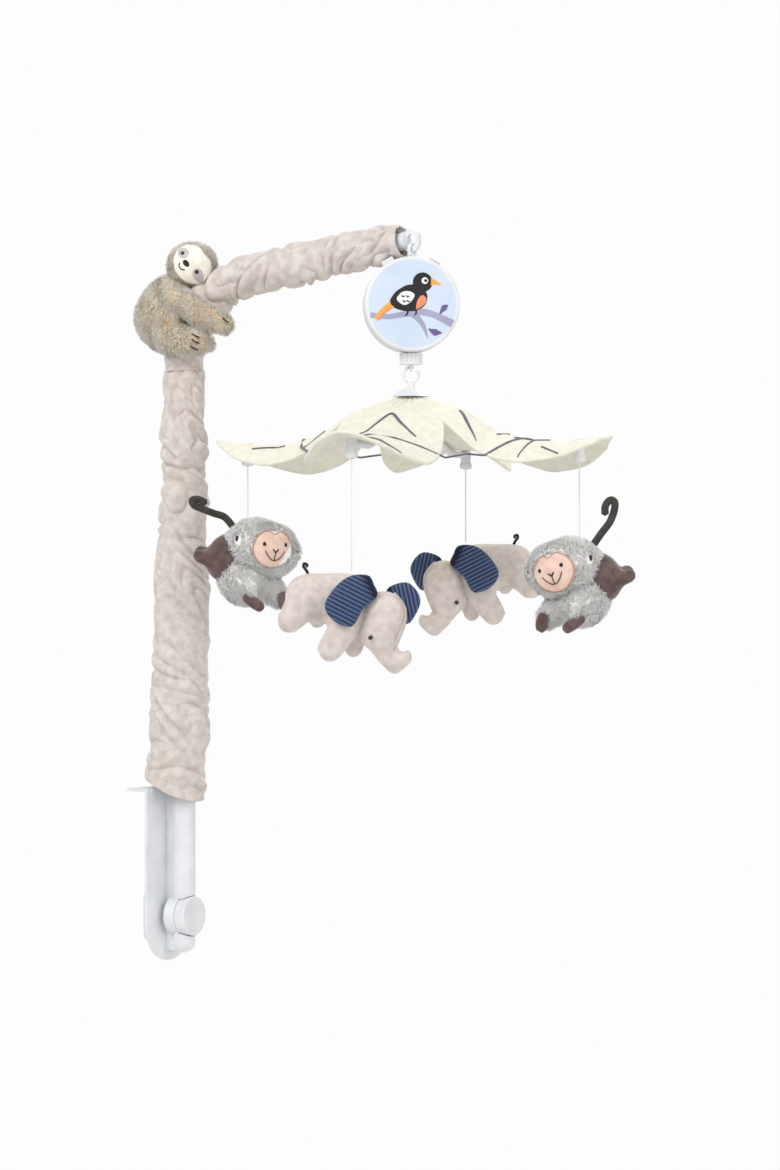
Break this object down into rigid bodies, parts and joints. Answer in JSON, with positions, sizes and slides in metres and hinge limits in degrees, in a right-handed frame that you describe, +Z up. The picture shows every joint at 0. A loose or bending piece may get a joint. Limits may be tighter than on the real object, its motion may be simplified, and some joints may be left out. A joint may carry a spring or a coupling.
{
  "type": "crib mobile",
  "caption": "Clamp-on crib mobile: fabric-sleeved bent arm carries a round battery music box that turns a leaf-shaped carousel of soft animals on strings.",
  "frame": {"origin": "where the rail bracket's back face meets the underside of its lip, in the middle of the bracket's width", "axes": "+X the way the arm reaches out from the rail, +Z up, +Y to the left when looking along +X"},
  "size_m": [0.4929, 0.3949, 0.6624],
  "materials": {
    "white_plastic": "moulded, semi-gloss",
    "grey_plastic": "ribbed, matt",
    "inner_plastic": "moulded nylon",
    "rubber_pad": "soft rubber",
    "bolt_steel": "zinc plated",
    "insert_brass": "turned",
    "sleeve_velour": "ruched velour",
    "sloth_plush": "short pile plush",
    "canopy_cotton": "quilted cotton",
    "string_cord": "braided cord",
    "elephant_velour": "velour",
    "ear_corduroy": "corduroy",
    "monkey_white": "long pile plush",
    "monkey_brown": "corduroy",
    "picture_print": "printed card under varnish",
    "board": "epoxy board",
    "cell": "battery can",
    "motor_can": "drawn can"
  },
  "bodies": {
    "root": {"rail_bracket": "white_plastic", "lower_arm": "white_plastic", "bracket_screws": "bolt_steel", "rail_pads": "rubber_pad", "upper_arm": "white_plastic", "arm_tip": "white_plastic", "sleeve_lower": "sleeve_velour", "sleeve_upper": "sleeve_velour", "sloth_body": "sloth_plush", "sloth_head": "sloth_plush"},
    "jaw": {"clamp_jaw": "white_plastic", "jaw_pad": "rubber_pad", "clamp_bolt": "bolt_steel"},
    "knob": {"clamp_knob": "white_plastic", "knob_insert": "insert_brass"},
    "loop": {"box_loop": "white_plastic"},
    "music_box": {"front_shell": "white_plastic", "back_shell": "white_plastic", "picture_disc": "picture_print", "circuit_board": "board", "speaker": "cell", "batteries": "cell", "motor": "motor_can", "gear_frame": "inner_plastic", "box_screws": "bolt_steel"},
    "play_button": {"play_button": "white_plastic"},
    "mode_switch": {"mode_switch": "grey_plastic"},
    "battery_door": {"battery_door": "white_plastic"},
    "idler": {"idler_gear": "inner_plastic"},
    "motor_rotor": {"motor_pinion": "insert_brass"},
    "drive": {"output_gear": "inner_plastic", "output_shaft": "motor_can", "drive_cap": "white_plastic"},
    "carousel": {"hub_ring": "white_plastic", "hub_cap": "white_plastic", "spokes": "white_plastic", "spoke_caps": "white_plastic", "leaf_canopy": "canopy_cotton"},
    "left_knot": {"left_string_knot": "white_plastic"},
    "left_string": {"left_string": "string_cord"},
    "left_monkey": {"left_monkey_body": "monkey_white", "left_monkey_head": "monkey_white", "left_monkey_limbs": "monkey_brown", "left_monkey_tail": "monkey_brown"},
    "near_knot": {"near_string_knot": "white_plastic"},
    "near_string": {"near_string": "string_cord"},
    "near_elephant": {"near_elephant_body": "elephant_velour", "near_elephant_head": "elephant_velour", "near_elephant_ears": "ear_corduroy"},
    "far_knot": {"far_string_knot": "white_plastic"},
    "far_string": {"far_string": "string_cord"},
    "far_elephant": {"far_elephant_body": "elephant_velour", "far_elephant_head": "elephant_velour", "far_elephant_ears": "ear_corduroy"},
    "right_knot": {"right_string_knot": "white_plastic"},
    "right_string": {"right_string": "string_cord"},
    "right_monkey": {"right_monkey_body": "monkey_white", "right_monkey_head": "monkey_white", "right_monkey_limbs": "monkey_brown", "right_monkey_tail": "monkey_brown"}
  },
  "joints": [
    {"name": "knob_turn", "type": "hinge", "parent": "root", "child": "knob", "pos_m": [0.025, 0, -0.1145], "axis": [1, 0, 0], "range_deg": [0, 1440]},
    {"name": "jaw_slide", "type": "slide", "parent": "root", "child": "jaw", "axis": [-1, 0, 0], "range_m": [0, 0.016]},
    {"name": "loop_swing", "type": "hinge", "parent": "root", "child": "loop", "pos_m": [0.266, 0, 0.4903], "axis": [1, 0, 0], "range_deg": [-6, 6]},
    {"name": "box_swivel", "type": "hinge", "parent": "loop", "child": "music_box", "pos_m": [0.266, 0, 0.475], "axis": [0, 0, 1], "range_deg": [-3, 10]},
    {"name": "play_press", "type": "slide", "parent": "music_box", "child": "play_button", "axis": [0.384, 0.278, -0.8805], "range_m": [0, 0.0012], "stiffness_N_per_m": 300, "springref_m": -0.0015},
    {"name": "mode_slide", "type": "slide", "parent": "music_box", "child": "mode_switch", "axis": [0.7132, 0.5163, -0.4741], "range_m": [-0.0016, 0.0016]},
    {"name": "door_lift", "type": "slide", "parent": "music_box", "child": "battery_door", "axis": [-0.5864, 0.81, 0], "range_m": [0, 0.014]},
    {"name": "output_spin", "type": "hinge", "parent": "music_box", "child": "drive", "pos_m": [0.265, 0, 0.4], "axis": [0, 0, 1], "continuous": true},
    {"name": "idler_spin", "type": "hinge", "parent": "music_box", "child": "idler", "pos_m": [0.27521, 0.00739, 0.41], "axis": [0, 0, 1], "continuous": true},
    {"name": "motor_spin", "type": "hinge", "parent": "music_box", "child": "motor_rotor", "pos_m": [0.26597, 0.0007, 0.415], "axis": [0, 0, 1], "continuous": true},
    {"name": "carousel_tilt", "type": "hinge", "parent": "drive", "child": "carousel", "pos_m": [0.265, 0, 0.3815], "axis": [0.8443, 0.5358, 0], "range_deg": [-6, 6]},
    {"name": "left_knot_sway", "type": "hinge", "parent": "carousel", "child": "left_knot", "pos_m": [0.11403, -0.03513, 0.2988], "axis": [0.2267, -0.974, 0], "range_deg": [-8, 8]},
    {"name": "left_string_sway", "type": "hinge", "parent": "left_knot", "child": "left_string", "pos_m": [0.11403, -0.03513, 0.2988], "axis": [-0.974, -0.2267, 0], "range_deg": [-8, 8]},
    {"name": "left_monkey_twist", "type": "hinge", "parent": "left_string", "child": "left_monkey", "pos_m": [0.11403, -0.03513, 0.249], "axis": [0, 0, 1], "continuous": true},
    {"name": "near_knot_sway", "type": "hinge", "parent": "carousel", "child": "near_knot", "pos_m": [0.30013, -0.15097, 0.2988], "axis": [0.974, 0.2267, 0], "range_deg": [-8, 8]},
    {"name": "near_string_sway", "type": "hinge", "parent": "near_knot", "child": "near_string", "pos_m": [0.30013, -0.15097, 0.2988], "axis": [0.2267, -0.974, 0], "range_deg": [-8, 8]},
    {"name": "near_elephant_twist", "type": "hinge", "parent": "near_string", "child": "near_elephant", "pos_m": [0.30013, -0.15097, 0.2], "axis": [0, 0, 1], "continuous": true},
    {"name": "far_knot_sway", "type": "hinge", "parent": "carousel", "child": "far_knot", "pos_m": [0.22987, 0.15097, 0.2988], "axis": [-0.974, -0.2267, 0], "range_deg": [-8, 8]},
    {"name": "far_string_sway", "type": "hinge", "parent": "far_knot", "child": "far_string", "pos_m": [0.22987, 0.15097, 0.2988], "axis": [-0.2267, 0.974, 0], "range_deg": [-8, 8]},
    {"name": "far_elephant_twist", "type": "hinge", "parent": "far_string", "child": "far_elephant", "pos_m": [0.22987, 0.15097, 0.228], "axis": [0, 0, 1], "continuous": true},
    {"name": "right_knot_sway", "type": "hinge", "parent": "carousel", "child": "right_knot", "pos_m": [0.41597, 0.03513, 0.2988], "axis": [-0.2267, 0.974, 0], "range_deg": [-8, 8]},
    {"name": "right_string_sway", "type": "hinge", "parent": "right_knot", "child": "right_string", "pos_m": [0.41597, 0.03513, 0.2988], "axis": [0.974, 0.2267, 0], "range_deg": [-8, 8]},
    {"name": "right_monkey_twist", "type": "hinge", "parent": "right_string", "child": "right_monkey", "pos_m": [0.41597, 0.03513, 0.231], "axis": [0, 0, 1], "continuous": true}
  ],
  "couplings": [
    {"joint": "jaw_slide", "follows": "knob_turn", "m_per_rad": 0.00063662},
    {"joint": "idler_spin", "follows": "output_spin", "ratio": -2.5},
    {"joint": "motor_spin", "follows": "output_spin", "ratio": 7}
  ]
}
